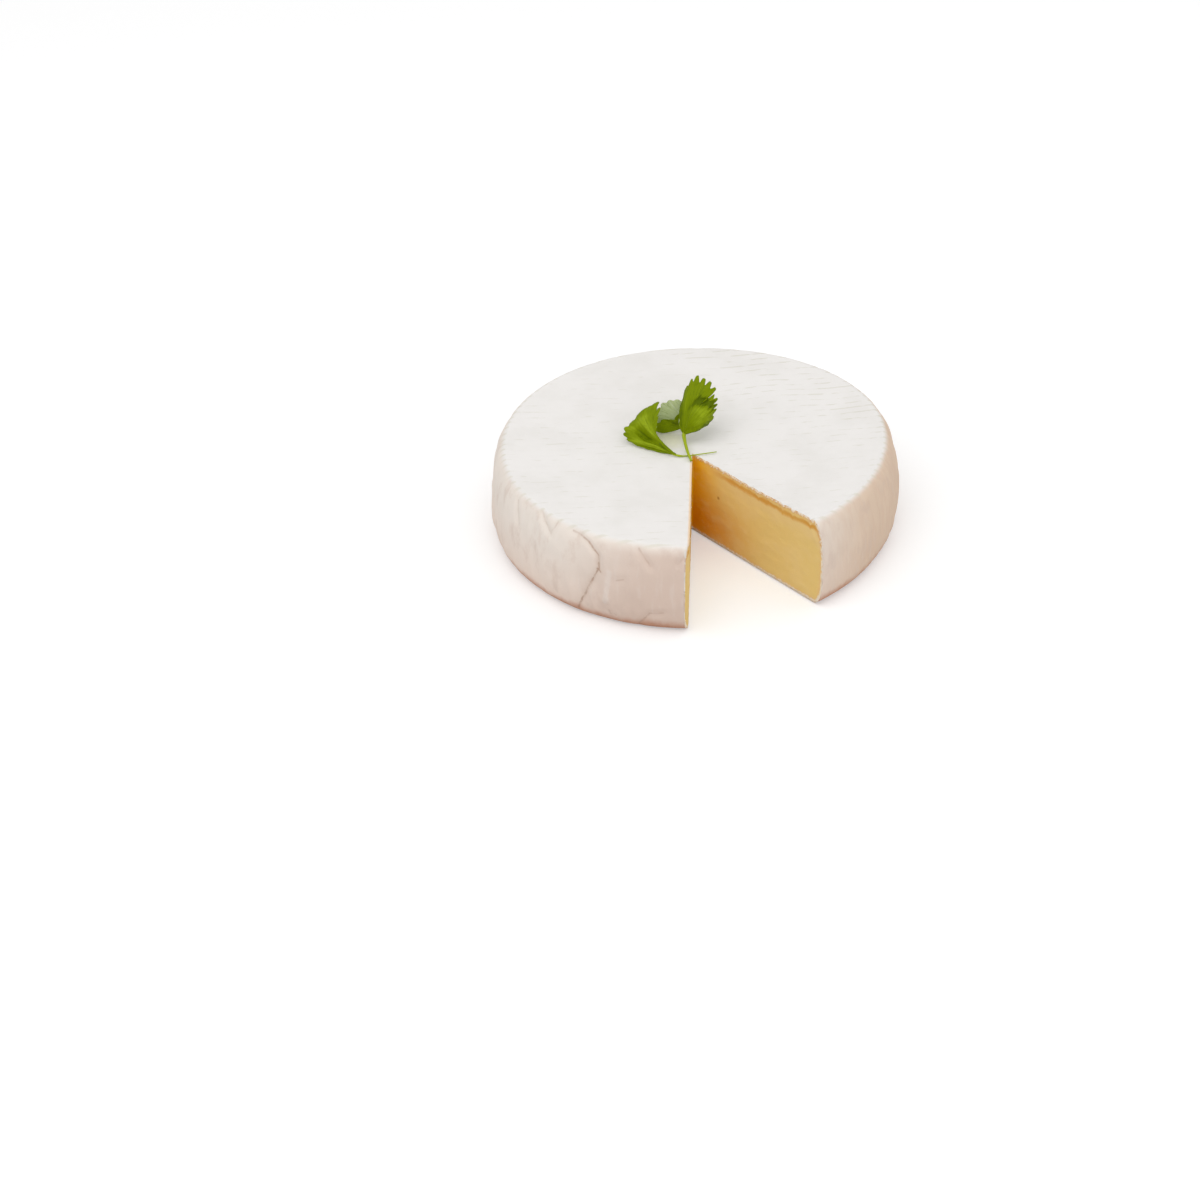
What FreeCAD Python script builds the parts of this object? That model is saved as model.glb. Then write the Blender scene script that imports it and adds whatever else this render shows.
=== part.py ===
import FreeCAD, Part
import math
import os
import Sketcher
from FreeCAD import Vector

# A ripe soft cheese: one wheel with a bloomy rind, from which a wedge has been cut, and two small
# pieces of a soft herb laid on its middle. Millimetres and degrees. +Z is up, the origin is the
# middle of the whole wheel on the face it stands on, and the missing wedge opens towards -Y.
# Directions are angles about Z, counter-clockwise from +X.

SIZES = [
    # the wheel
    ("wheel_diameter", 110.0, "mean width of the wheel where it is widest"),
    ("wheel_height", 25.0, "height of the rim's crest over the base"),
    ("belly_height", 8.5, "height at which the wall is widest"),
    ("rim_inset", 4.3, "how far the rim's crest lies inside the widest line"),
    ("rim_power", 2.1, "fullness of the shoulder under the rim, 2 is an ellipse"),
    ("base_inset", 3.2, "how far the base's edge lies inside the widest line"),
    ("base_power", 2.3, "fullness of the wall's turn into the base"),
    ("centre_sag", 1.5, "how far the middle of the top lies under the crest"),
    ("slump", 0.9, "how far the top has moved sideways over the base"),
    ("slump_direction", -150.0, "the way the top has moved"),
    ("oval_depth", 1.45, "half the difference of the wheel's two widths"),
    ("oval_direction", 32.0, "direction of the long way across"),
    ("corner_depth", 0.5, "depth of three slow corners in the outline"),
    ("corner_direction", 9.0, "direction of the first of them"),
    ("pleat_depth", 0.45, "depth of the folds that the wrapping pressed into the wall"),
    # the missing wedge
    ("wedge_angle", 42.7, "angle between the two cut faces"),
    ("wedge_direction", -90.0, "middle of the missing wedge"),
    ("apex_offset", 4.5, "distance of the cuts' meeting line from the wheel's middle"),
    ("apex_direction", -123.7, "direction of the cuts' meeting line"),
    # the herb
    ("seat_gap", 0.12, "gap under what lies on the cheese or crosses over a stalk"),
    ("blade_thickness", 0.34, "thickness of a leaf"),
    ("stalk_radius", 0.5, "cut end of the thick stalk"),
    ("fork_radius", 0.62, "thick stalk where its two leaves part"),
    ("thin_stalk_radius", 0.26, "stalk of the curled leaf"),
    ("upright_length", 16.6, "length of the leaf that stands up"),
    ("hanging_length", 9.8, "length of the leaf that arches beside it"),
    ("curled_length", 17.4, "length of the curled leaf"),
    ("sinus_depth", 0.2, "depth of the cuts between a leaf's lobes, as a share of its length"),
    ("tooth_depth", 0.075, "depth of the teeth on a lobe, as a share of the leaf's length"),
]

doc = FreeCAD.newDocument("soft_cheese_wheel")
sheet = doc.addObject("Spreadsheet::Sheet", "sizes")
for row, (alias, value, note) in enumerate(SIZES, start=1):
    sheet.set(f"A{row}", alias)
    sheet.set(f"B{row}", str(value))
    sheet.setAlias(f"B{row}", alias)
    sheet.set(f"C{row}", note)
doc.recompute()


def size(alias):
    return float(sheet.get(alias))


def polar(radius, direction):
    angle = math.radians(direction)
    return radius * math.cos(angle), radius * math.sin(angle)


# --- the wheel -------------------------------------------------------------------------------
# The skin is lofted over level rings: the ripe cheese is a little oval and three-cornered, its wall
# bulges low down, its rim is a soft shoulder and its top sags in the middle.

RING_POINTS = 48
WALL_STEPS = 5
PLEATS = 15


def plan_radius(direction):
    oval = size("oval_depth") * math.cos(math.radians(2 * (direction - size("oval_direction"))))
    corners = size("corner_depth") * math.cos(math.radians(3 * (direction - size("corner_direction"))))
    return size("wheel_diameter") / 2 + oval + corners


def pleat_inset(direction, height):
    """Shallow leaning folds of uneven depth and spacing, which die out at the rim and the base."""
    share = height / size("wheel_height")
    fade = math.sin(math.pi * min(max(share, 0.0), 1.0)) ** 0.8
    inset = 0.0
    for k in range(PLEATS):
        middle = 360.0 / PLEATS * (k + 0.35 * math.sin(2.3 * k))
        lean = 7.0 * math.sin(1.7 * k + 0.5) * (share - 0.5)
        reach = 4.5 + 2.0 * math.sin(3.1 * k) ** 2
        depth = size("pleat_depth") * math.sin(4.1 * k + 1.0)
        away = (direction - middle - lean + 180.0) % 360.0 - 180.0
        inset += depth * math.exp(-((away / reach) ** 2))
    return inset * fade


def slump_at(height):
    return Vector(*polar(size("slump") * height / size("wheel_height"), size("slump_direction")), 0)


def ring_wire(inset, height):
    """One level ring of the skin, drawn in from the wheel's widest outline by inset."""
    points = []
    for k in range(RING_POINTS):
        direction = size("wedge_direction") + 360.0 * k / RING_POINTS
        radius = plan_radius(direction) - inset - pleat_inset(direction, height)
        points.append(Vector(*polar(radius, direction), height) + slump_at(height))
    curve = Part.BSplineCurve()
    curve.interpolate(Points=points, PeriodicFlag=True, Parameters=[float(k) for k in range(RING_POINTS + 1)])
    return Part.Wire([curve.toShape()])


def wall_rings():
    """(inset, height) up the wall: a quarter of a superellipse under the belly and one over it."""
    belly = size("belly_height")
    over = size("wheel_height") - belly
    rings = []
    for k in range(WALL_STEPS + 1):
        angle = math.pi / 2 * k / WALL_STEPS
        inset = size("base_inset") * (1 - math.sin(angle) ** (2 / size("base_power")))
        height = belly * (1 - math.cos(angle) ** (2 / size("base_power")))
        rings.append((inset, height))
    for k in range(1, WALL_STEPS + 1):
        angle = math.pi / 2 * k / WALL_STEPS
        inset = size("rim_inset") * (1 - math.cos(angle) ** (2 / size("rim_power")))
        height = belly + over * math.sin(angle) ** (2 / size("rim_power"))
        rings.append((inset, height))
    return rings


ring_objects = []
for k, (inset, height) in enumerate(wall_rings()):
    ring = doc.addObject("Part::Feature", f"ring_{k:02d}")
    ring.Shape = ring_wire(inset, height)
    ring_objects.append(ring)

skin = doc.addObject("Part::Loft", "skin")
skin.Sections = ring_objects
skin.Solid = True
skin.Ruled = True

# The sag of the top is the cap of a great ball that dips between the rim's crests.
hollow_radius = size("wheel_diameter") / 2 - size("rim_inset") - size("oval_depth")
ball_radius = (hollow_radius**2 + size("centre_sag") ** 2) / (2 * size("centre_sag"))
ball_middle = slump_at(size("wheel_height")) + Vector(0, 0, size("wheel_height") - size("centre_sag") + ball_radius)
ball = doc.addObject("Part::Sphere", "hollow_ball")
ball.setExpression(
    "Radius",
    "((sizes.wheel_diameter / 2 - sizes.rim_inset - sizes.oval_depth) ^ 2 + sizes.centre_sag ^ 2)"
    " / (2 * sizes.centre_sag)",
)
ball.Placement = FreeCAD.Placement(ball_middle, FreeCAD.Rotation())
sagged = doc.addObject("Part::Cut", "sagged_wheel")
sagged.Base = skin
sagged.Tool = ball
doc.recompute()


def top_height(x, y):
    """Height of the sagging top under a point."""
    away = math.hypot(x - ball_middle.x, y - ball_middle.y)
    return min(ball_middle.z - math.sqrt(ball_radius**2 - away**2), size("wheel_height"))


# The wedge that was taken out: a triangle drawn on the base plane and raised through the wheel.
wedge = doc.addObject("PartDesign::Body", "missing_wedge")
sketch = wedge.newObject("Sketcher::SketchObject", "wedge_outline")
base_plane = [f for f in wedge.Origin.OriginFeatures if f.Role == "XY_Plane"][0]
sketch.AttachmentSupport = [(base_plane, "")]
sketch.MapMode = "FlatFace"
sketch.setExpression("AttachmentOffset.Base.z", "-sizes.wheel_height")

apex_x, apex_y = polar(size("apex_offset"), size("apex_direction"))
reach = size("wheel_diameter")
left = size("wedge_direction") - size("wedge_angle") / 2
right = size("wedge_direction") + size("wedge_angle") / 2
apex = Vector(apex_x, apex_y, 0)
left_end = apex + Vector(*polar(reach, left), 0)
right_end = apex + Vector(*polar(reach, right), 0)
sketch.addGeometry(Part.LineSegment(apex, left_end))
sketch.addGeometry(Part.LineSegment(left_end, right_end))
sketch.addGeometry(Part.LineSegment(apex, right_end))
for line, end, other_line, other_end in ((0, 2, 1, 1), (1, 2, 2, 2), (0, 1, 2, 1)):
    sketch.addConstraint(Sketcher.Constraint("Coincident", line, end, other_line, other_end))
bound = [
    (Sketcher.Constraint("DistanceX", 0, 1, apex_x), "sizes.apex_offset * cos(sizes.apex_direction * 1 deg)"),
    (Sketcher.Constraint("DistanceY", 0, 1, apex_y), "sizes.apex_offset * sin(sizes.apex_direction * 1 deg)"),
    (Sketcher.Constraint("Distance", 0, reach), "sizes.wheel_diameter"),
    (Sketcher.Constraint("Distance", 2, reach), "sizes.wheel_diameter"),
    (Sketcher.Constraint("Angle", 0, math.radians(left)), "(sizes.wedge_direction - sizes.wedge_angle / 2) * 1 deg"),
    (Sketcher.Constraint("Angle", 2, math.radians(right)), "(sizes.wedge_direction + sizes.wedge_angle / 2) * 1 deg"),
]
for constraint, formula in bound:
    index = sketch.addConstraint(constraint)
    sketch.setExpression(f"Constraints[{index}]", formula)
doc.recompute()
cut = wedge.newObject("PartDesign::Pad", "wedge_cut")
cut.Profile = sketch
cut.setExpression("Length", "sizes.wheel_height * 3")
doc.recompute()

wheel = doc.addObject("Part::Cut", "wheel")
wheel.Base = sagged
wheel.Tool = wedge
wheel.Label = "wheel"
doc.recompute()


# --- the herb --------------------------------------------------------------------------------
# A leaf is one closed skin from the cut end of its stalk to the teeth of its margin. Ribs fan out
# from the foot of the blade, so that it can fold and curl, and each says where it ends and how far
# its middle arches away from the straight line to there.

ALONG = 6
BLADE_START = 0.13
SINUS_REACH = 0.036
BACKWARD = Vector(-0.28, -0.79, 0.54)
UPWARD = Vector(0, 0, 1)

UPRIGHT_RIBS = [
    (0.12, 0.28, 0.2, 0.0),
    (0.15, 0.48, 0.46, -0.05),
    (0.24, 0.44, 0.73, -0.03),
    (0.39, 0.42, 0.82, 0.0),
    (0.56, 0.3, 0.72, 0.05),
    (0.62, 0.1, 0.48, 0.12),
    (0.47, -0.03, 0.2, 0.1),
    (0.24, -0.05, 0.03, 0.0),
]
HANGING_RIBS = [
    (-0.28, 0.3, 0.2, -0.14),
    (-0.6, 0.5, 0.16, -0.2),
    (-0.66, 0.5, -0.1, 0.0),
    (-0.72, 0.9, 0.06, 0.0),
    (-0.42, 0.84, 0.38, -0.12),
    (-0.22, 0.76, 0.58, -0.16),
    (-0.08, 0.56, 0.56, -0.12),
]
CURLED_RIBS = [
    (-0.5, 0.47, 0.02, -0.02),
    (-0.63, 0.68, 0.09, 0.0),
    (-0.54, 0.82, 0.18, 0.03),
    (-0.33, 0.85, 0.34, 0.06),
    (-0.12, 0.91, 0.43, 0.05),
    (0.05, 0.94, 0.43, 0.0),
    (-0.15, 0.56, 0.29, 0.0),
    (-0.24, 0.4, 0.17, 0.0),
]


def ribs_of(shares, length, arch_way):
    """Pairs of vectors in millimetres: a rib's end and its arch, from shares of a length."""
    return [(Vector(x, y, z) * length, arch_way * (arch * length)) for x, y, z, arch in shares]


def on_curve(points, t):
    """The place at t, between 0 and 1, on a smooth curve through all the points."""
    last = len(points) - 1
    place = min(max(t, 0.0), 1.0) * last
    k = min(int(place), last - 1)
    u = place - k
    a, b, c, d = (points[min(max(k + step, 0), last)] for step in (-1, 0, 1, 2))
    return b + (c - a + (a * 2 - b * 5 + c * 4 - d + ((b - c) * 3 + d - a) * u) * u) * (u / 2)


def margin(t, sinuses, teeth):
    """Share of a rib that the blade reaches: cuts between the lobes, and teeth on each lobe."""
    reached = 1 - size("tooth_depth") * (0.5 - 0.5 * math.cos(2 * math.pi * teeth * t))
    for place, depth in sinuses:
        reached -= size("sinus_depth") * depth * math.exp(-(((t - place) / SINUS_REACH) ** 2))
    return reached


def blade_rows(foot, ribs, sinuses, teeth, across):
    """Points of the blade's middle surface, row by row from the foot to the margin."""
    ends = [end for end, arch in ribs]
    arches = [arch for end, arch in ribs]
    rows = []
    for i in range(ALONG + 1):
        share = BLADE_START + (1 - BLADE_START) * i / ALONG
        row = []
        for j in range(across + 1):
            t = j / across
            reached = share * (1 - share + share * margin(t, sinuses, teeth))
            lifted = on_curve(arches, t) * (4 * reached * (1 - reached))
            row.append(foot + on_curve(ends, t) * reached + lifted)
        rows.append(row)
    return rows


def blade_rings(rows):
    """Rows given a thickness: along the upper side of each row and back along its lower side."""
    half = size("blade_thickness") / 2
    last = len(rows[0]) - 1
    rings = []
    for i, row in enumerate(rows):
        upper = []
        lower = []
        for j, point in enumerate(row):
            along = rows[min(i + 1, ALONG)][j] - rows[max(i - 1, 0)][j]
            over = row[min(j + 2, last)] - row[max(j - 2, 0)]
            normal = over.cross(along).normalize()
            upper.append(point + normal * half)
            lower.append(point - normal * half)
        rings.append(upper + lower[::-1])
    return rings


def stalk_rings(path, radii, foot_ring):
    """Rings round a stalk, with the points in the order of the blade's first ring."""
    count = len(foot_ring) // 2
    side = foot_ring[count - 1] - foot_ring[0]
    rings = []
    for k in reversed(range(len(path))):
        heading = (path[min(k + 1, len(path) - 1)] - path[max(k - 1, 0)]).normalize()
        side = (side - heading * heading.dot(side)).normalize()
        top = side.cross(heading)
        ring = []
        for n in range(2 * count):
            turn = math.pi * (1 - (n + 0.5) / count)
            ring.append(path[k] + (side * math.cos(turn) + top * math.sin(turn)) * radii[k])
        rings.append(ring)
    return rings[::-1]


def skinned(rings):
    """A closed solid of flat facets over rings of points, with both ends capped in strips."""
    count = len(rings[0])
    quads = []
    for ring, following in zip(rings, rings[1:]):
        for k in range(count):
            beside = (k + 1) % count
            quads.append((ring[k], ring[beside], following[beside], following[k]))
    first, last = rings[0], rings[-1]
    for k in range(count // 2 - 1):
        m = count - 1 - k
        quads.append((first[m], first[m - 1], first[k + 1], first[k]))
        quads.append((last[k], last[k + 1], last[m - 1], last[m]))
    corners = [(a, b, c) for a, b, c, d in quads] + [(a, c, d) for a, b, c, d in quads]
    if sum(a.dot(b.cross(c)) for a, b, c in corners) < 0:
        corners = [(a, c, b) for a, b, c in corners]
    sewn = Part.makeCompound([Part.Face(Part.makePolygon([a, b, c, a])) for a, b, c in corners])
    sewn.sewShape()
    return Part.Solid(sewn.Shells[0])


def leaf(name, path, radii, ribs, sinuses, teeth, across):
    """A document object with a stalk along a path and a blade that starts at the path's end."""
    blade = blade_rings(blade_rows(path[-1], ribs, sinuses, teeth, across))
    piece = doc.addObject("Part::Feature", name)
    piece.Shape = skinned(stalk_rings(path, radii, blade[0]) + blade)
    piece.Label = name
    return piece


def resting(x, y, radius, lift=0.0):
    """Middle of something round that lies on the cheese, or is lifted over it."""
    return Vector(x, y, top_height(x, y) + radius + size("seat_gap") + lift)


thin = size("thin_stalk_radius")
thick = size("stalk_radius")
over_thin = 2 * thin + size("seat_gap")

sprig = leaf(
    "sprig",
    [
        resting(-5.05, -8.4, thick),
        resting(-4.75, -6.2, thick, over_thin),
        resting(-4.05, -3.0, thick, over_thin + 0.1),
        resting(-3.25, 0.2, thick, 1.2),
        resting(-2.65, 2.33, thick, 1.9),
    ],
    [thick, thick, thick, thick, size("fork_radius")],
    ribs_of(HANGING_RIBS, size("hanging_length"), UPWARD)
    + ribs_of(UPRIGHT_RIBS, size("upright_length"), BACKWARD),
    [(0.16, 0.8), (0.3, 0.7), (0.464, 3.0), (0.66, 0.9), (0.83, 1.0)],
    20,
    64,
)
curled = leaf(
    "curled_leaf",
    [
        resting(3.6, -6.1, thin),
        resting(0.2, -5.7, thin),
        resting(-3.7, -5.35, thin),
        resting(-5.6, -5.0, thin),
        resting(-6.88, -4.57, thin, 0.1),
    ],
    [thin * 0.8, thin, thin, thin, thin * 1.3],
    ribs_of(CURLED_RIBS, size("curled_length"), BACKWARD),
    [(0.3, 0.8), (0.62, 1.0)],
    11,
    36,
)
doc.recompute()

# --- checks and files --------------------------------------------------------------------------
for item in doc.Objects:
    if "Invalid" in item.State or "Error" in item.State:
        raise RuntimeError(f"{item.Name} failed: {item.State}")

os.makedirs("parts", exist_ok=True)
for node in (wheel, sprig, curled):
    shape = node.Shape
    if shape.isNull() or not shape.isValid() or len(shape.Solids) != 1:
        raise RuntimeError(f"{node.Label} is not one valid solid")
    shape.exportStep(f"parts/{node.Label}.step")
    print(node.Label, "volume", round(shape.Volume, 2), "box", shape.BoundBox)
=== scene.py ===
import math

import bmesh
import bpy
from mathutils import Matrix, Vector, noise


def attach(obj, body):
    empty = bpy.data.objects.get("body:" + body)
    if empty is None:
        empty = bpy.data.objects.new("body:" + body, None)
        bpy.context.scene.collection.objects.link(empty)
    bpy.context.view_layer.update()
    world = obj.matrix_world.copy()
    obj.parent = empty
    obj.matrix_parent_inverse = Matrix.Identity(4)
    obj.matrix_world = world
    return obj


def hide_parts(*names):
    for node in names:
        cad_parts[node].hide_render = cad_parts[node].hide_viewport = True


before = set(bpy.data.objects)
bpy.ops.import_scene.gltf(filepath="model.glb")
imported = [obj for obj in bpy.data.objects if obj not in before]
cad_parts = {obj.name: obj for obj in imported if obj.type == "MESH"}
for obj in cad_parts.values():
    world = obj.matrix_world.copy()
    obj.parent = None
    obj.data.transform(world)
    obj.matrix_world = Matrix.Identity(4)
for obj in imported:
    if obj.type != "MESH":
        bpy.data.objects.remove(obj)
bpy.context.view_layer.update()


# --- Studio -------------------------------------------------------------------------------------
# A pale table top under two big soft lamps and a weaker one in front, with even light from all
# round, and a camera that looks down on the cheese over the gap that the missing wedge has left.

AIMED_AT = Vector((0, 0, 0.01))
AMBIENT = 0.51
TABLE_REACH = 0.8
TABLE_DROP = 0.0004
TABLE_GREY = 0.7
TABLE_GLOW = 0.36


def where_white(nodes, links):
    """1 for the rays that are to see the plain white surroundings, and 0 for the others."""
    rays = nodes.new("ShaderNodeLightPath")
    seen = rays.outputs["Is Camera Ray"]
    for kind in ("Is Glossy Ray", "Is Transmission Ray"):
        either = nodes.new("ShaderNodeMath")
        either.operation = "MAXIMUM"
        links.new(seen, either.inputs[0])
        links.new(rays.outputs[kind], either.inputs[1])
        seen = either.outputs[0]
    return seen


def studio():
    scene = bpy.context.scene
    scene.view_settings.view_transform = "Standard"

    camera = bpy.data.objects.new("camera", bpy.data.cameras.new("camera"))
    camera.location = (-0.3309, -0.86472, 0.574667)
    camera.rotation_euler = (math.radians(57.0265), 0, math.radians(-19.35))
    camera.data.lens = 120.93
    camera.data.sensor_width = 36
    scene.collection.objects.link(camera)
    scene.camera = camera

    lamps = (
        ("key", (-0.45, -0.15, 0.8), 1.0, 4.1),
        ("side", (0.5, 0.1, 0.75), 1.0, 1.8),
        ("fill", (0.15, -0.95, 0.35), 0.9, 2.1),
    )
    for name, place, width, watts in lamps:
        lamp = bpy.data.objects.new(name, bpy.data.lights.new(name, "AREA"))
        lamp.data.energy = watts
        lamp.data.size = width
        lamp.location = place
        lamp.rotation_euler = (AIMED_AT - lamp.location).to_track_quat("-Z", "Y").to_euler()
        scene.collection.objects.link(lamp)

    world = bpy.data.worlds.new("world")
    scene.world = world
    world.use_nodes = True
    nodes, links = world.node_tree.nodes, world.node_tree.links
    light = nodes["Background"]
    light.inputs["Color"].default_value = (1, 1, 1, 1)
    light.inputs["Strength"].default_value = AMBIENT
    backdrop = nodes.new("ShaderNodeBackground")
    backdrop.inputs["Color"].default_value = (1, 1, 1, 1)
    backdrop.inputs["Strength"].default_value = 1.0
    mix = nodes.new("ShaderNodeMixShader")
    links.new(where_white(nodes, links), mix.inputs[0])
    links.new(light.outputs[0], mix.inputs[1])
    links.new(backdrop.outputs[0], mix.inputs[2])
    links.new(mix.outputs[0], nodes["World Output"].inputs["Surface"])

    bm = bmesh.new()
    bmesh.ops.create_grid(bm, x_segments=1, y_segments=1, size=TABLE_REACH)
    bmesh.ops.translate(bm, verts=bm.verts, vec=(0, 0, -TABLE_DROP))
    table = bpy.data.objects.new("table", bpy.data.meshes.new("table"))
    bm.to_mesh(table.data)
    bm.free()
    scene.collection.objects.link(table)
    paint = bpy.data.materials.new("table_white")
    paint.use_nodes = True
    nodes, links = paint.node_tree.nodes, paint.node_tree.links
    nodes["Principled BSDF"].inputs["Base Color"].default_value = (*[TABLE_GREY] * 3, 1)
    nodes["Principled BSDF"].inputs["Roughness"].default_value = 0.9
    glow = nodes.new("ShaderNodeEmission")
    white = nodes.new("ShaderNodeMath")
    white.operation = "MULTIPLY"
    white.inputs[1].default_value = TABLE_GLOW
    links.new(where_white(nodes, links), white.inputs[0])
    links.new(white.outputs[0], glow.inputs["Strength"])
    both = nodes.new("ShaderNodeAddShader")
    links.new(nodes["Principled BSDF"].outputs[0], both.inputs[0])
    links.new(glow.outputs[0], both.inputs[1])
    links.new(both.outputs[0], nodes["Material Output"].inputs["Surface"])
    table.data.materials.append(paint)


studio()


# --- The wheel of cheese ------------------------------------------------------------------------
# A soft cheese in a white bloomy rind, turned out of its mould and drained on mats, whose ribs have
# left rows of short dashes on the top. The rind has folded and creased as the cheese settled, and a
# knife has taken one wedge out down to the middle, so the ripe paste shows.

MM = 0.001


class Signal:
    """A shader socket that can be used in sums: each operator adds a Math node."""

    def __init__(self, socket):
        self.socket = socket

    def maths(self, operation, *values):
        node = self.socket.id_data.nodes.new("ShaderNodeMath")
        node.operation = operation
        for socket, value in zip(node.inputs, values):
            feed(socket, value)
        return Signal(node.outputs[0])

    def __add__(self, other):
        return self.maths("ADD", self, other)

    def __sub__(self, other):
        return self.maths("SUBTRACT", self, other)

    def __rsub__(self, other):
        return self.maths("SUBTRACT", other, self)

    def __mul__(self, other):
        return self.maths("MULTIPLY", self, other)

    __radd__ = __add__
    __rmul__ = __mul__

    def clipped(self):
        return self.maths("MAXIMUM", self.maths("MINIMUM", self, 1.0), 0.0)


def feed(socket, value):
    if isinstance(value, Signal):
        socket.id_data.links.new(value.socket, socket)
    else:
        socket.default_value = value


class Finish:
    """A material with its shader, and a short way to add any other node to it."""

    def __init__(self, name):
        self.material = bpy.data.materials.new(name)
        self.material.use_nodes = True
        self.nodes = self.material.node_tree.nodes
        self.shader = self.nodes["Principled BSDF"]

    def node(self, kind, settings, inputs, output=0):
        node = self.nodes.new("ShaderNode" + kind)
        for key, value in settings.items():
            setattr(node, key, value)
        for key, value in inputs.items():
            feed(node.inputs[key], value)
        return Signal(node.outputs[output])

    def attribute(self, name):
        return self.node("Attribute", {"attribute_name": name}, {}, "Fac")

    def place(self, scale=(1, 1, 1), turn=0.0):
        """Object coordinates in millimetres, turned about Z and stretched."""
        coords = self.node("TexCoord", {}, {}, "Object")
        return self.node(
            "Mapping", {"vector_type": "TEXTURE"},
            {"Vector": coords, "Rotation": (0, 0, turn), "Scale": [MM * part for part in scale]},
        )

    def measure(self, operation, first, second):
        """A number from two vectors: their DISTANCE, or their DOT_PRODUCT."""
        return self.node("VectorMath", {"operation": operation}, {0: first, 1: second}, "Value")

    def noise(self, place, scale, detail=3.0, roughness=0.5, distortion=0.0):
        return self.node(
            "TexNoise", {},
            {"Vector": place, "Scale": scale, "Detail": detail, "Roughness": roughness,
             "Distortion": distortion},
            "Fac",
        )

    def band(self, value, low, high):
        """0 under low, 1 over high, and smooth between."""
        return self.node(
            "MapRange", {"interpolation_type": "SMOOTHSTEP"},
            {"Value": value, "From Min": low, "From Max": high},
        )

    def mix(self, factor, first, second):
        return self.node(
            "Mix", {"data_type": "RGBA"},
            {"Factor": factor, 6: colour(first), 7: colour(second)}, 2,
        )

    def bump(self, height, distance, strength=1.0, normal=None):
        inputs = {"Height": height, "Distance": distance * MM, "Strength": strength}
        if normal:
            inputs["Normal"] = normal
        return self.node("Bump", {}, inputs)


def colour(value):
    """A colour written as 0-255 screen values, as the shader wants it; a signal stays as it is."""
    if isinstance(value, Signal):
        return value
    return (*[linear(part / 255) for part in value], 1.0)


def linear(part):
    return part / 12.92 if part <= 0.04045 else ((part + 0.055) / 1.055) ** 2.4


WHEEL_RADIUS = 55.0
WHEEL_HEIGHT = 25.0
BELLY = 8.5
RIM_INSET, RIM_POWER = 4.3, 2.1
BASE_INSET, BASE_POWER = 3.2, 2.3
APEX = Vector((-2.5, -3.74))
CUT_RIGHT = -68.65
CUT_LEFT = 248.65
TOP_RADIUS, TOP_SAG = 50.7, 1.5
SLUMP, SLUMP_TOWARDS = 0.9, math.radians(-150)
PUSHED_BACK = 1.05
MAT_TURN = math.radians(-14.0)
MAT_PITCH = 2.8
CLEARER_DASHES = (0.9, 0.43, 0)
# the middle of the painted shade on the front of the wall
FRONT_SHADE_CENTRE = (-18.0, -52.0, 7.0)
# the middle of the painted shade under the garnish
LEAF_SHADE_SPOT = (-5.9, 4.6, 23.8)
HOLE = (1.33, -13.53, 14.42)
COLUMNS = 500
TOP_ROWS = 60
WALL_ROWS = 48
OVER_BELLY = 0.62
PASTE_ROWS = 36


def outline(direction):
    """The radius in a direction: the wheel has settled out of round."""
    waves = ((2, 1.465, 31.95), (3, 0.51, 9.2), (4, 0.2, 17.2))
    return WHEEL_RADIUS + sum(
        depth * math.cos(math.radians(count * (direction - peak))) for count, depth, peak in waves
    )


def slump(height):
    """How far the cheese leans to one side at a height."""
    lean = Vector((math.cos(SLUMP_TOWARDS), math.sin(SLUMP_TOWARDS)))
    return lean * (SLUMP * height / WHEEL_HEIGHT)


def at_outline(turn, inset, height):
    """The point of a level ring that lies in a direction as seen from the tip of the cut."""
    around = turn
    for _ in range(6):
        reach = outline(around) - inset
        point = Vector((math.cos(math.radians(around)), math.sin(math.radians(around)))) * reach
        point += slump(height)
        seen = math.degrees(math.atan2(point.y - APEX.y, point.x - APEX.x))
        around += (turn - seen + 180) % 360 - 180
    return point


def top_height(x, y):
    """The top sags inside its rim, and lies lowest round the tip of the cut."""
    share = min(math.hypot(x, y) / TOP_RADIUS, 1.0)
    dish = TOP_SAG * (1 - share * share)
    swell = 0.33 * math.exp(-(((share - 0.3) / 0.16) ** 2))
    return WHEEL_HEIGHT - dish + swell


# both ends as (direction, height), width, depth of the groove, and darkness, partly brown marks and
# partly painted shade: 0 is the pale ridge
CREASE_LINE, RIDGE_LINE = 0.34, 1.2
CREASES = (
    ((-146, 23.9), (-143.5, 23.6), 0.8, 0.35, 0.5),
    ((-143.5, 23.6), (-140.5, 22.6), 0.8, 0.5, 0.8),
    ((-140.5, 22.6), (-137.2, 19.8), 0.8, 0.6, 1.0),
    ((-137.2, 19.8), (-136.8, 16.4), 0.9, 0.6, 0.9),
    ((-136.8, 16.4), (-143.8, 1.5), 0.7, 0.55, 1.0),
    ((-133.8, 16.0), (-134.8, 7.0), 1.2, -0.45, 0.0),
    ((-169.3, 22.9), (-167, 17.5), 0.9, 0.5, 0.35),
    ((-158.4, 24.4), (-153.3, 20.6), 1.0, 0.7, 0.4),
    ((-153.3, 20.6), (-151.7, 24.2), 0.9, 0.6, 0.3),
    ((-126.3, 23.6), (-122.6, 19.6), 1.0, 0.6, 0.4),
    ((-115.4, 20.6), (-112.2, 23.9), 0.9, 0.5, 0.2),
    ((-126, 1.0), (-122.6, 5.6), 0.9, 0.5, 0.55),
    ((-122.6, 5.6), (-119.0, 6.0), 0.8, 0.45, 0.45),
    ((-137.2, 16.2), (-136.2, 15.5), 0.9, 0.2, 1.2),
    ((-134.2, 4.2), (-133.6, 3.0), 0.6, 0.2, 0.8),
    ((-132.4, 3.5), (-131.8, 3.1), 0.5, 0.2, 0.6),
    ((-131.6, 14.2), (-129.8, 14.8), 1.2, 0.25, 0.35),
)


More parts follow.
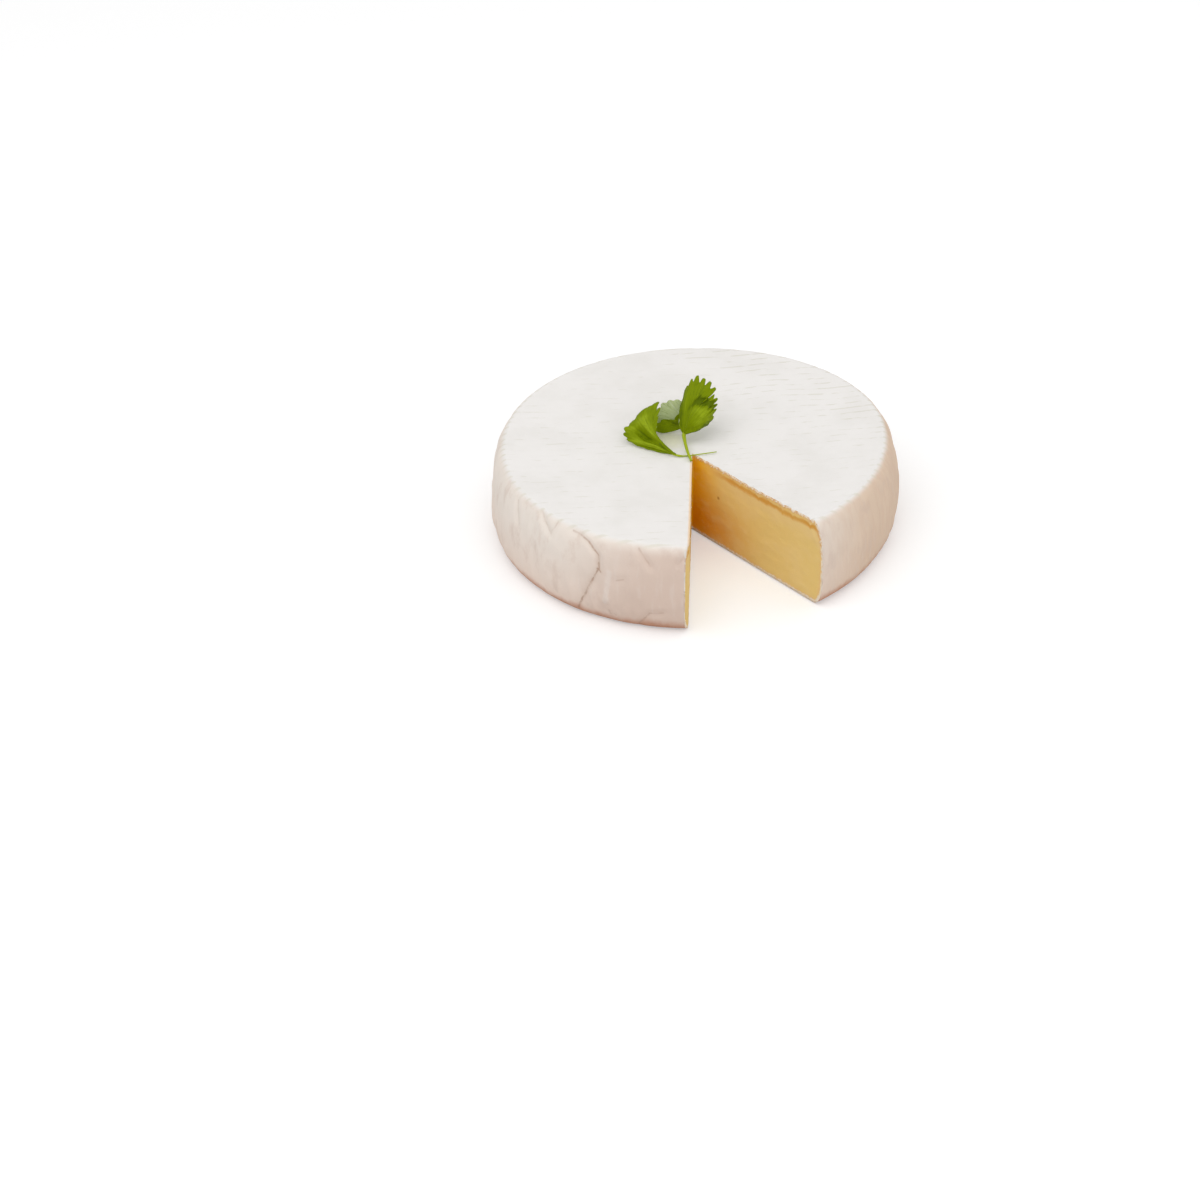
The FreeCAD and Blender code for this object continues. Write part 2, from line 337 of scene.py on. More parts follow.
def crease_at(direction, height):
    """How deep the folds of the rind are here, and how dark their painted shade is: each is a
    groove between two ends.
    """
    depth = 0.0
    dark = 0.0
    for (turn_a, high_a), (turn_b, high_b), width, groove, shade in CREASES:
        start = Vector((math.radians(turn_a) * WHEEL_RADIUS, high_a))
        along = Vector((math.radians(turn_b) * WHEEL_RADIUS, high_b)) - start
        here = Vector((math.radians(direction) * WHEEL_RADIUS, height)) - start
        share = min(max(here.dot(along) / along.length_squared, 0.0), 1.0)
        away = (here - along * share).length
        if away < 4 * width:
            fall = math.exp(-((away / width) ** 2))
            depth = max(depth, groove * fall) if groove > 0 else depth + groove * fall
            dark = max(dark, shade * math.exp(-((away / (0.6 * width)) ** 2)))
    return depth, dark


def wall_relief(direction, height):
    """Inset of the wall in millimetres from its plain form: pleats, wrinkles, creases."""
    run = math.radians(direction) * WHEEL_RADIUS
    share = height / WHEEL_HEIGHT
    fade = math.sin(math.pi * min(max(share, 0), 1)) ** 0.6
    pleats = noise.noise(Vector((run / 7.5, height / 30, 3.1)))
    wrinkles = noise.noise(Vector((run / 2.6, height / 9, 7.7)))
    dimples = noise.noise(Vector((run / 3.5, height / 3.5, 1.3)))
    depth, dark = crease_at(direction, height)
    return fade * (0.65 * pleats + 0.3 * wrinkles + 0.2 * dimples) + depth * fade ** 0.3, dark


def across_mat(x, y):
    """How far over the mat this is, in ribs: a whole number is the middle of a furrow."""
    along = x * math.cos(MAT_TURN) + y * math.sin(MAT_TURN)
    across = y * math.cos(MAT_TURN) - x * math.sin(MAT_TURN)
    across += 1.1 * noise.noise(Vector((along / 16, across / 9, 5.0)))
    return across / MAT_PITCH


def mat_furrow(x, y):
    """The furrows that the mat's ribs have pressed in, as broken rows, between 0 and 1."""
    across = across_mat(x, y)
    furrow = math.cos(2 * math.pi * across) ** 3
    broken = noise.noise(Vector((x / 5.5, round(across) * 3.7, 9.0)))
    return max(furrow, 0.0) * min(max(0.5 + 1.6 * broken, 0.0), 1.0)


def smooth(value):
    value = min(max(value, 0.0), 1.0)
    return value * value * (3 - 2 * value)


def off_cut(turn, side):
    """The level direction that a cut faces: side is 1 at the right cut and -1 at the left one."""
    return Vector((math.sin(math.radians(turn)), -math.cos(math.radians(turn)), 0)) * side


def cut_distance(turn, place):
    """How far a place on the top is from the nearer cut."""
    off = min(turn - CUT_RIGHT, CUT_LEFT - turn)
    return (place - APEX).length * math.sin(math.radians(min(off, 90)))


def skin_point(turn, row):
    """A point of the rind, and how dark the painted shade of its crease is. Rows run over the top,
    down and under.
    """
    # the knife has pushed the rind of the wall back a little at the left cut
    pushed = smooth((row - TOP_ROWS + 4) / 14)
    pushed *= 1 - smooth((row - TOP_ROWS - WALL_ROWS + 10) / 12)
    turn -= PUSHED_BACK * pushed * ((turn - CUT_RIGHT) / (CUT_LEFT - CUT_RIGHT)) ** 8
    if row <= TOP_ROWS:
        share = 1 - (1 - row / TOP_ROWS) ** 1.12
        crest = at_outline(turn, RIM_INSET, WHEEL_HEIGHT)
        place = APEX.lerp(crest, share)
        rim = min(max((share - 0.7) / 0.3, 0), 1)
        lift = top_height(place.x, place.y)
        cut = math.exp(-(cut_distance(turn, place) / 1.4) ** 2) * smooth(share / 0.12)
        lift -= (0.02 + 0.09 * rim ** 2 + 0.5 * cut) * mat_furrow(place.x, place.y)
        lift += 0.18 * (1 - rim) * noise.noise(Vector((place.x / 16, place.y / 16, 2.0)))
        return Vector((place.x, place.y, lift)), 0.0
    if row <= TOP_ROWS + WALL_ROWS:
        step = (row - TOP_ROWS) / WALL_ROWS
        upper = step < OVER_BELLY
        if upper:
            angle = math.radians(90 * (1 - step / OVER_BELLY))
            bulge = RIM_INSET * (1 - math.cos(angle) ** (2 / RIM_POWER))
            height = BELLY + (WHEEL_HEIGHT - BELLY) * math.sin(angle) ** (2 / RIM_POWER)
        else:
            angle = math.radians(90 * (step - OVER_BELLY) / (1 - OVER_BELLY))
            bulge = BASE_INSET * (1 - math.cos(angle) ** (2 / BASE_POWER))
            height = BELLY - BELLY * math.sin(angle) ** (2 / BASE_POWER)
        plain = at_outline(turn, bulge, height)
        direction = math.degrees(math.atan2(plain.y, plain.x))
        relief, dark = wall_relief(direction, height)
        place = plain.normalized() * (plain.length - relief)
        comb = mat_furrow(plain.x, plain.y) * 0.14 * smooth((height - 21) / 3)
        place -= place.normalized() * comb * (1 - step / OVER_BELLY if upper else 0)
        return Vector((place.x, place.y, max(height - comb * 0.8, 0))), dark
    share = (2 * TOP_ROWS + WALL_ROWS - row) / TOP_ROWS
    place = APEX.lerp(at_outline(turn, BASE_INSET, 0), share)
    return Vector((place.x, place.y, 0)), 0.0


def wheel_mesh():
    bm = bmesh.new()
    dark, wall, across, depth, fall = (
        bm.verts.layers.float.new(name) for name in ("crease", "wall", "across", "depth", "fall")
    )
    rows = 2 * TOP_ROWS + WALL_ROWS
    bmesh.ops.create_grid(bm, x_segments=COLUMNS, y_segments=rows, size=0.5)
    for vert in bm.verts:
        column = round((vert.co.x + 0.5) * COLUMNS)
        row = round((vert.co.y + 0.5) * rows)
        turn = CUT_RIGHT + (CUT_LEFT - CUT_RIGHT) * column / COLUMNS
        vert.co, vert[dark] = skin_point(turn, row)
        vert[wall] = min(max((row - TOP_ROWS) / WALL_ROWS, 0), 1)
        vert[across] = across_mat(vert.co.x, vert.co.y)
    skin = set(bm.faces)

    # the two cut faces, each a grid whose columns join the top's edge to the base's
    half = rows // 2
    for turn, side in ((CUT_RIGHT, 1), (CUT_LEFT, -1)):
        new = bmesh.ops.create_grid(bm, x_segments=half, y_segments=PASTE_ROWS, size=0.5)["verts"]
        rim = [skin_point(turn, k)[0] for k in range(rows + 1)]
        out = off_cut(turn, side)
        for vert in new:
            column = round((vert.co.x + 0.5) * half)
            level = round((vert.co.y + 0.5) * PASTE_ROWS) / PASTE_ROWS
            high, low = rim[column], rim[rows - column]
            vert.co = high.lerp(low, level)
            vert[depth] = min((vert.co - point).length for point in rim)
            vert[fall] = high.z - vert.co.z
            inner = min(column, half - column) > 0 and 0 < level < 1
            if inner:
                rough = noise.fractal(vert.co / 1.6 + Vector((0, 0, 11)), 0.6, 2.0, 3)
                drag = noise.noise(Vector((vert.co.x / 12, vert.co.y / 12, vert.co.z / 1.2)))
                vert.co += out * (0.1 * rough + 0.07 * drag)
    bmesh.ops.remove_doubles(bm, verts=bm.verts, dist=0.002)
    bmesh.ops.recalc_face_normals(bm, faces=bm.faces)
    for face in bm.faces:
        face.smooth = True
        face.material_index = 0 if face in skin else 1
    bmesh.ops.scale(bm, verts=bm.verts, vec=(MM, MM, MM))
    return bm


def fine_line(finish, here, start, end, width):
    """1 on a thin line between two places of the unrolled wall, and 0 away from it."""
    along = end - start
    rest = finish.node("VectorMath", {"operation": "SUBTRACT"}, {0: here, 1: (*start, 0)})
    share = finish.measure("DOT_PRODUCT", rest, (*(along / along.length_squared), 0)).clipped()
    foot = finish.node("VectorMath", {"operation": "SCALE"}, {0: (*along, 0), "Scale": share})
    return 1 - finish.band(finish.measure("DISTANCE", rest, foot), 0.25 * width, width)


def rind_finish():
    finish = Finish("bloomy_rind")
    place = finish.place()
    x, y, height = (finish.node("SeparateXYZ", {}, {"Vector": place}, k) for k in range(3))
    down = finish.attribute("wall")
    wall = finish.band(down, 0.02, 0.16)
    low = finish.band(down, 0.3, 0.95)
    clouds = finish.noise(place, 0.07, 4.0, 0.6)
    patches = finish.noise(finish.place((1, 1, 1.8)), 0.2, 4.0, 0.6)
    streaks = finish.noise(finish.place((1, 1, 6)), 0.5, 3.0, 0.6)

    top = finish.mix(finish.band(clouds, 0.35, 0.7), (238, 235, 232), (233, 230, 226))
    side = finish.mix(low, (240, 230, 220), (243, 221, 206))
    # painted shade with a warm painted reflection: the front of the wall darker and pinker round
    # one point
    front_shade = 1 - finish.band(finish.measure("DISTANCE", place, FRONT_SHADE_CENTRE), 14.0, 46.0)
    front_shade = front_shade * finish.band(down, 0.08, 0.26)
    side = finish.mix(front_shade * 0.85, side, (217, 193, 178))
    # the right side of the wall more beige and darker, fading towards the back: partly the rind's
    # own tone and partly painted shade
    right_tone_and_shade = finish.band(x, 6.0, 36.0) * (1 - finish.band(y, 5.0, 40.0) * 0.7)
    side = finish.mix(right_tone_and_shade * 0.9, side, (227, 201, 176))
    side = finish.mix(finish.band(streaks, 0.42, 0.62) * right_tone_and_shade * 0.28, side, (216, 182, 158))
    side = finish.mix(finish.band(patches, 0.5, 0.7) * 0.4, side, (214, 192, 178))
    side = finish.mix(finish.band(streaks, 0.54, 0.7) * 0.12, side, (240, 234, 229))
    # painted shade and a painted warm reflection: the lowest few millimetres of the wall darker and
    # browner
    foot = 1 - finish.band(height + (patches - 0.5) * 4.0, 0.3, 4.0)
    side = finish.mix(foot * 0.8, side, (194, 130, 94))
    base = finish.mix(wall, top, side)

    # painted shade under the garnish, tinted by the green light that comes through the leaves
    leaf_shade = finish.measure("DISTANCE", place, LEAF_SHADE_SPOT)
    leaf_shade = 1 - finish.band(leaf_shade + (streaks - 0.5) * 3.0, 1.5, 6.5)
    base = finish.mix(leaf_shade * (1 - wall) * 0.6, base, (224, 222, 186))

    # the paste shows through the thin rind along the left cut: aside is into the cheese from the
    # cut, and onward is along the cut, away from its tip
    aside = finish.measure("DOT_PRODUCT", place, off_cut(CUT_LEFT, 1))
    onward = finish.measure("DOT_PRODUCT", place, off_cut(CUT_LEFT + 90, 1))
    thin = finish.band(aside, -1.0, 0.5) * (1 - finish.band(aside, 1.2, 1.7))
    base = finish.mix(thin * finish.band(onward, 4.4, 7.4) * 0.8, base, (242, 208, 166))

    # the mat's furrows: dashes on the top, and a fine comb where they run out over the rim
    turns = finish.attribute("across") * (2 * math.pi)
    furrow = turns.maths("COSINE", turns)
    broken = finish.noise(finish.place((4.2, 1.1, 1.1), MAT_TURN), 1.0, 2.0, 0.6)
    far = finish.band(finish.measure("DOT_PRODUCT", place, CLEARER_DASHES), 14.0, 46.0)
    dashes = finish.band(furrow, 0.66, 1.0) * finish.band(broken + far * 0.07, 0.54, 0.66)
    dashes = dashes * (0.3 + far * 0.2) * (1 - wall)
    base = finish.mix(dashes, base, (208, 204, 188))
    rim = finish.band(down, 0.0, 0.04) * (1 - finish.band(down, 0.06, 0.2))
    base = finish.mix(rim * finish.band(furrow, 0.2, 1.0) * 0.4, base, (214, 208, 188))

    # the creases, drawn thin and dark on the wall as if it were unrolled, partly the rind's brown
    # marks along its folds and partly painted shade in them, and one pale ridge
    run = y.maths("ARCTAN2", y, x) * WHEEL_RADIUS
    wobble = finish.noise(place, 0.5, 2.0, 0.6)
    here = finish.node("CombineXYZ", {}, {0: run + (wobble - 0.5) * 1.2, 1: height, 2: 0.0})
    creased = ridge = 0.0
    for (turn_a, high_a), (turn_b, high_b), width, groove, shade in CREASES:
        start = Vector((math.radians(turn_a) * WHEEL_RADIUS, high_a))
        end = Vector((math.radians(turn_b) * WHEEL_RADIUS, high_b))
        if not shade:
            ridge = fine_line(finish, here, start, end, RIDGE_LINE) * wall
        else:
            line = fine_line(finish, here, start, end, CREASE_LINE) * shade
            creased = line.maths("MAXIMUM", line, creased)
    fading = finish.band(finish.noise(place, 0.45, 2.0, 0.6), 0.4, 0.6)
    creased = creased * wall * (0.35 + fading * 0.65)
    base = finish.mix(ridge * 0.28, base, (242, 234, 228))
    base = finish.mix(creased * 0.55, base, (164, 120, 92))
    # painted shade: a soft darkening along the folds
    base = finish.mix((finish.attribute("crease") * 0.22).clipped(), base, (190, 166, 148))

    fuzz = finish.noise(place, 1.9, 4.0, 0.65)
    normal = finish.bump(fuzz, 0.1, 0.6)
    normal = finish.bump(dashes * -1.0, 0.06, 0.5, normal)
    feed(finish.shader.inputs["Base Color"], base)
    feed(finish.shader.inputs["Normal"], normal)
    finish.shader.inputs["Roughness"].default_value = 0.85
    finish.shader.inputs["Specular IOR Level"].default_value = 0.25
    return finish.material


def paste_finish():
    finish = Finish("ripe_paste")
    place = finish.place()
    level_place = finish.place((1, 1, 1000))
    reach = finish.measure("DISTANCE", level_place, (APEX.x, APEX.y, 0))
    fall = finish.attribute("fall")
    wobble = finish.noise(place, 0.3, 3.0, 0.6) - 0.5
    clouds = finish.noise(finish.place((1.5, 1.5, 1)), 0.2, 4.0, 0.6)
    grain = finish.noise(place, 2.2, 3.0, 0.6)

    # the paste is more orange towards the tip of the cut and low down near it: partly its own
    # colour and partly painted reflection of the light thrown between the two cut faces
    body = finish.mix(finish.band(reach, 0.5, 13.0), (242, 188, 24), (234, 202, 128))
    low = finish.band(fall, 7.0, 20.0) * (1 - finish.band(reach, 6.0, 30.0))
    body = finish.mix(low * 0.75, body, (230, 150, 0))
    body = finish.mix(finish.band(clouds, 0.45, 0.7) * 0.35, body, (238, 208, 148))

    # under the top rind, away from the tip, lies a dark line with a paler shelf below it
    level = fall + wobble * 1.6
    shelf = finish.band(level, 2.4, 3.2) * (1 - finish.band(level, 4.0, 7.5))
    body = finish.mix(shelf * finish.band(reach, 8.0, 22.0) * 0.55, body, (238, 206, 146))
    line = finish.band(level, 1.2, 1.9) * (1 - finish.band(level, 2.2, 3.4))
    line = line * finish.band(reach, 5.0, 16.0) * (0.4 + clouds * 0.7)
    body = finish.mix(line, body, (214, 148, 52))
    body = finish.mix(finish.band(grain, 0.6, 0.7) * 0.2, body, (240, 212, 160))

    # the cut edge of the rind, ragged at the top, and the paste that has browned next to it
    depth = finish.attribute("depth") + (finish.noise(place, 1.1, 3.0, 0.7) - 0.5) * 1.5
    body = finish.mix((1 - finish.band(depth, 0.8, 1.5)) * 0.5, body, (230, 186, 130))
    ragged = finish.band(finish.noise(place, 0.8, 2.0, 0.6), 0.44, 0.64)
    ragged = ragged * (1 - finish.band(fall, 1.5, 5.0) * 0.8)
    edge = finish.mix(ragged, (240, 226, 206), (220, 176, 128))
    rind = 1 - finish.band(depth - finish.band(fall, 19.0, 22.0) * 0.2, 0.4, 0.8)
    body = finish.mix(rind, body, edge)
    # a small hole in the paste, darkened: partly its brownish colour and partly painted shade in it
    hole = 1 - finish.band(finish.measure("DISTANCE", place, HOLE), 0.1, 0.7)
    body = finish.mix(hole * 0.6, body, (158, 98, 28))
    normal = finish.bump(grain, 0.12, 0.5)
    normal = finish.bump(clouds, 0.4, 0.5, normal)
    normal = finish.bump(hole * -1.0, 0.15, 0.8, normal)
    feed(finish.shader.inputs["Base Color"], body)
    feed(finish.shader.inputs["Normal"], normal)
    finish.shader.inputs["Roughness"].default_value = 0.5
    finish.shader.inputs["Specular IOR Level"].default_value = 0.08
    return finish.material


def wheel_of_cheese():
    mesh = bpy.data.meshes.new("cheese_wheel")
    bm = wheel_mesh()
    bm.to_mesh(mesh)
    bm.free()
    mesh.materials.append(rind_finish())
    mesh.materials.append(paste_finish())
    wheel = bpy.data.objects.new("cheese_wheel", mesh)
    bpy.context.scene.collection.objects.link(wheel)
    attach(wheel, "root")
    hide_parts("wheel")


wheel_of_cheese()


# --- The crumbs ---------------------------------------------------------------------------------
# Crumbs of the dry rind, which the knife has dragged loose. They cling to the paste in a ragged row
# just under the top rind, thickest at the tip of the cut, and a few stick lower down.

CRUMB_SEED = 7
CRUMB_ROWS = ((CUT_RIGHT, 1, 64), (CUT_LEFT, -1, 5))
STUCK_LOW = ((TOP_ROWS + 36, 0.3), (TOP_ROWS + 41, 0.34), (TOP_ROWS + 44, 0.2))


def crumb(bm, place, size):
    turn = noise.random_unit_vector().to_track_quat("Z", "Y").to_matrix().to_4x4()
    shape = Matrix.Translation(place) @ turn @ Matrix.Diagonal((size, size * 0.75, size * 0.6, 1))
    grown = bmesh.ops.create_icosphere(bm, subdivisions=2, radius=1.0, matrix=shape)["verts"]
    for vert in grown:
        vert.co += noise.noise_vector(vert.co * 3.1) * (0.4 * size)


def crumbs_of_rind():
    noise.seed_set(CRUMB_SEED)
    bm = bmesh.new()
    for turn, side, count in CRUMB_ROWS:
        out = off_cut(turn, side)
        for k in range(count):
            row = 1 + (TOP_ROWS + 2) * ((k + noise.random() * 0.8) / count) ** 1.2
            edge = skin_point(turn, int(row))[0].lerp(skin_point(turn, int(row) + 1)[0], row % 1)
            drop = 0.35 + 0.55 * noise.random() ** 2
            place = edge + out * (0.08 * noise.random() - 0.05) - Vector((0, 0, drop))
            crumb(bm, place, 0.16 + 0.3 * noise.random() ** 2)
    for row, size in STUCK_LOW:
        crumb(bm, skin_point(CUT_LEFT, row)[0] + Vector((0.1, 0.0, 0.1)), size)
    for face in bm.faces:
        face.smooth = True
    bmesh.ops.scale(bm, verts=bm.verts, vec=(MM, MM, MM))
    mesh = bpy.data.meshes.new("rind_crumbs")
    bm.to_mesh(mesh)
    bm.free()
    finish = Finish("loose_rind")
    kinds = finish.noise(finish.place(), 0.9, 2.0, 0.7)
    base = finish.mix(finish.band(kinds, 0.38, 0.62), (240, 224, 200), (222, 178, 130))
    grain = finish.noise(finish.place(), 6.0, 3.0)
    feed(finish.shader.inputs["Base Color"], base)
    feed(finish.shader.inputs["Normal"], finish.bump(grain, 0.05, 0.6))
    finish.shader.inputs["Roughness"].default_value = 0.8
    mesh.materials.append(finish.material)
    crumbs = bpy.data.objects.new("rind_crumbs", mesh)
    bpy.context.scene.collection.objects.link(crumbs)
    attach(crumbs, "root")


crumbs_of_rind()


# --- The parsley ---------------------------------------------------------------------------------
# Two fresh sprigs of flat parsley, laid on as a garnish. A thick stalk carries one leaf that stands
# up and one that hangs like a trough, and a leaf on its own thread of a stalk has curled over.
# Each blade is a fan of ribs from its foot, and every rib ends in the tip of a tooth.

BLADE_STEPS = 14
BLADE_ROWS = 34
BLADE_THICKNESS = 0.2
BLADE_START = 0.03
ROLLED_UNDER = 0.42
UPPER_SIDE, UNDERSIDE, STALK = 0, 1, 2


def on_curve(points, t):
    """The place at t, between 0 and 1, on a smooth curve through evenly spaced points."""
    last = len(points) - 1
    place = min(max(t, 0.0), 1.0) * last
    k = min(int(place), last - 1)
    u = place - k
    a, b, c, d = (points[min(max(k + step, 0), last)] for step in (-1, 0, 1, 2))
    return b + (c - a + (a * 2 - b * 5 + c * 4 - d + ((b - c) * 3 + d - a) * u) * u) * (u / 2)


class Blade:
    """One leaf blade. A rib is (its end, its arch) in shares of the length; mains number the ribs
    that are thick veins from the foot on, and the other ribs branch off the nearest of them. A
    pocket is where the blade swells or dips: (rib, share, slope, its radii, lift, tone), and its
    tone is painted shade where it is dark and a painted highlight where it is pale."""

    def __init__(self, foot, length, ribs, cuts, mains, seed, facing, pockets):
        self.foot = foot
        self.gaps = len(ribs) - 1
        self.ends = [Vector(rib[:3]) * length for rib in ribs]
        self.arches = [Vector(rib[3:]) * length for rib in ribs]
        self.cuts = cuts
        self.mains = mains
        self.seed = seed
        self.facing = Vector(facing).normalized()
        self.pockets = pockets

    def pocket(self, t, share):
        """How far the blade swells here in millimetres, and its painted shade and highlight as a
        tone from -1, dark, to 1, pale.
        """
        lift = tone = 0.0
        for rib, middle, slope, wide, long, rise, shade in self.pockets:
            beside = (t * self.gaps - rib) / wide
            along = (share - middle - slope * (t * self.gaps - rib)) / long
            fall = math.exp(-((beside * beside + along * along) ** 2))
            lift += rise * fall
            tone += shade * fall
        return lift, tone

    def point(self, t, share):
        gap = min(int(t * self.gaps), self.gaps - 1)
        depth = self.cuts[gap]
        cut = depth * math.sin(math.pi * (t * self.gaps - gap)) ** (2.6 + 22 * depth)
        reach = share * (1 - cut * share ** 2)
        place = self.foot + on_curve(self.ends, t) * reach
        place += on_curve(self.arches, t) * (4 * reach * (1 - reach))
        place += self.facing * self.pocket(t, share)[0]
        wave = noise.noise_vector(place / 2.4 + Vector((self.seed, 0, 0)))
        return place + wave * (0.3 * share ** 2)

    def vein(self, t, share):
        """How near a vein this is, between 0 and 1."""
        here = t * self.gaps
        nearest = 0.0
        for k, end in enumerate(self.ends):
            main = min(self.mains, key=lambda m: abs(m - k))
            start = 0.12 + 0.13 * abs(k - main)
            if k != main and share < start:
                continue
            spot = main + (k - main) * smooth((share - start) / (1 - start)) ** 0.8
            beside = self.ends[min(k + 1, self.gaps)] - self.ends[max(k - 1, 0)]
            away = abs(here - spot) * beside.length / 2 * share
            width = (0.17 if k == main else 0.1) * (1.1 - 0.6 * share)
            nearest = max(nearest, math.exp(-((away / width) ** 2)) * (1 if k == main else 0.7))
        return nearest

    def build(self, bm, near_side, far_side):
        vein, tip = bm.verts.layers.float["vein"], bm.verts.layers.float["tip"]
        beside, tone = bm.verts.layers.float["beside"], bm.verts.layers.float["tone"]
        rims = []
        for side, material in ((1, near_side), (-1, far_side)):
            grid = bmesh.ops.create_grid(
                bm, x_segments=self.gaps * BLADE_STEPS, y_segments=BLADE_ROWS, size=0.5
            )["verts"]
            for vert in grid:
                t = vert.co.x + 0.5
                share = BLADE_START + (1 - BLADE_START) * (vert.co.y + 0.5)
                over = self.point(min(t + 0.004, 1), share) - self.point(max(t - 0.004, 0), share)
                along = self.point(t, min(share + 0.01, 1)) - self.point(t, share - 0.02)
                normal = over.cross(along).normalized()
                thick = BLADE_THICKNESS * (0.6 - 0.25 * share)
                vert[vein] = self.vein(t, share)
                vert[tip] = share
                vert[beside] = t * self.gaps
                vert[tone] = self.pocket(t, share)[1]
                vert.co = self.point(t, share) + normal * (side * thick - 0.1 * vert[vein])
            faces = dict.fromkeys(face for vert in grid for face in vert.link_faces)
            for face in faces:
                rolled = min(vert[tip] for vert in face.verts) < ROLLED_UNDER
                face.material_index = UPPER_SIDE if rolled else material
                if side == -1:
                    face.normal_flip()
            rims += [edge for face in faces for edge in face.edges if edge.is_boundary]
        for face in bmesh.ops.bridge_loops(bm, edges=rims)["faces"]:
            face.material_index = UPPER_SIDE


def draw_stalk(bm, path, radii, sides=12):
    """A stem drawn out along a smooth path through points, with a radius at each point."""
    vein = bm.verts.layers.float["vein"]
    path = [Vector(point) for point in path]
    radii = [Vector((radius, 0, 0)) for radius in radii]
    steps = 6 * (len(path) - 1)
    points = [on_curve(path, k / steps) for k in range(steps + 1)]
    widths = [on_curve(radii, k / steps).x for k in range(steps + 1)]
    heading = (points[1] - points[0]).normalized()
    ring = bmesh.ops.create_circle(bm, segments=sides, radius=widths[0])["verts"]
    turn = heading.to_track_quat("Z", "Y").to_matrix().to_4x4()
    bmesh.ops.transform(bm, matrix=Matrix.Translation(points[0]) @ turn, verts=ring)
    first = edges = list(dict.fromkeys(edge for vert in ring for edge in vert.link_edges))
    wall = set()
    for k in range(1, steps + 1):
        grown = bmesh.ops.extrude_edge_only(bm, edges=edges)["geom"]
        ring = [part for part in grown if isinstance(part, bmesh.types.BMVert)]
        wall |= {face for vert in ring for face in vert.link_faces}
        edges = [
            part for part in grown if isinstance(part, bmesh.types.BMEdge)
            and part.verts[0] in ring and part.verts[1] in ring
        ]
        onward = (points[min(k + 1, steps)] - points[k - 1]).normalized()
        bend = heading.rotation_difference(onward).to_matrix().to_4x4()
        step = Matrix.Translation(points[k]) @ bend @ Matrix.Scale(widths[k] / widths[k - 1], 4)
        bmesh.ops.transform(bm, matrix=step @ Matrix.Translation(-points[k - 1]), verts=ring)
        heading = onward
    for rim in (first, edges):
        wall |= set(bmesh.ops.holes_fill(bm, edges=rim, sides=0)["faces"])
    for face in wall:
        face.material_index = STALK
        for vert in face.verts:
            vert[vein] = 0.2


def herb_finish(name, blade_colour, vein_colour, pale_colour, dark_colour):
    finish = Finish(name)
    place = finish.place()
    beside, tip = finish.attribute("beside") * 3.2, finish.attribute("tip") * 3.0
    streaks = finish.node("CombineXYZ", {}, {0: beside, 1: tip, 2: 0.0})
    streaks = finish.noise(streaks, 1.0, 3.0, 0.6, 0.6)
    clouds = finish.noise(place, 0.35, 3.0, 0.6)
    # the tone attribute is painted shade, dark in the folds and dips, and painted highlight, pale
    # on the swells; the noise and streaks added to it are the leaf's own mottling and veins
    tone = finish.attribute("tone") + (clouds - 0.5) * 1.2 + (streaks - 0.5) * 2.6
    base = finish.mix(finish.band(tone, 0.1, 1.1) * 0.85, blade_colour, pale_colour)
    base = finish.mix(finish.band(tone * -1.0, 0.05, 0.9) * 0.9, base, dark_colour)
    base = finish.mix((finish.attribute("vein") * 0.4).clipped(), base, vein_colour)
    normal = finish.bump(finish.noise(place, 2.0, 3.0, 0.6), 0.1, 0.6)
    feed(finish.shader.inputs["Base Color"], base)
    feed(finish.shader.inputs["Normal"], finish.bump(streaks, 0.1, 0.5, normal))
    finish.shader.inputs["Roughness"].default_value = 0.5
    finish.shader.inputs["Specular IOR Level"].default_value = 0.06
    return finish.material


HERB_FINISHES = [herb_finish(*look) for look in (
    ("leaf_upper_side", (118, 136, 0), (136, 154, 24), (148, 167, 28), (82, 100, 0)),
    ("leaf_underside", (185, 197, 144), (214, 224, 202), (218, 227, 204), (104, 126, 62)),
    ("leaf_stalk", (160, 176, 36), (174, 186, 76), (180, 190, 80), (142, 156, 20)),
)]


def herb(name, node, build):
    """A piece of the garnish in the place of one node."""
    bm = bmesh.new()
    for layer in ("vein", "tip", "beside", "tone"):
        bm.verts.layers.float.new(layer)
    build(bm)
    bmesh.ops.recalc_face_normals(bm, faces=bm.faces)
    bmesh.ops.scale(bm, verts=bm.verts, vec=(MM, MM, MM))
    for face in bm.faces:
        face.smooth = True
    mesh = bpy.data.meshes.new(name)
    bm.to_mesh(mesh)
    bm.free()
    for material in HERB_FINISHES:
        mesh.materials.append(material)
    piece = bpy.data.objects.new(name, mesh)
    bpy.context.scene.collection.objects.link(piece)
    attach(piece, "root")
    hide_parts(node)


